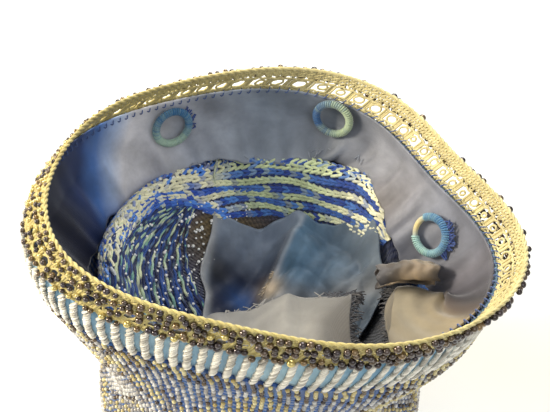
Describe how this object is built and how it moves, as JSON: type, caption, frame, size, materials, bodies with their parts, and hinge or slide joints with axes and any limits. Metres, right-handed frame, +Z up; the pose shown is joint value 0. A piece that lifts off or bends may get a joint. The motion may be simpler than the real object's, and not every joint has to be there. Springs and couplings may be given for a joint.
{
  "type": "beaded drawstring bag",
  "caption": "Open bead-knitted drawstring bag standing mouth up, with a pierced gold edging, a ribbed band, a torn silk lining and sewn rings for a cord.",
  "frame": {"origin": "middle of the bounding box, on the floor the bag stands on", "axes": "+X to the bag's right along its long way, +Y to its back, +Z up out of the mouth"},
  "size_m": [0.1524, 0.1192, 0.1395],
  "materials": {
    "edging": "gold crochet thread with dark glass beads",
    "ribs": "white seed beads on blue silk",
    "knit": "blue silk knitted with white, gold and brown seed beads",
    "silk": "worn grey-blue silk with a low sheen",
    "torn_silk": "crumpled grey-blue silk",
    "rolled_silk": "browned silk, rolled and frayed",
    "ring": "brass covered in blue and pale green buttonhole stitch"
  },
  "bodies": {
    "root": {"lace_edging": "edging", "rib_band": "ribs", "body": "knit", "lining_curtain": "silk", "lining_drape": "torn_silk", "lining_flap": "rolled_silk", "ring_1": "ring", "ring_2": "ring", "ring_3": "ring"}
  },
  "joints": []
}
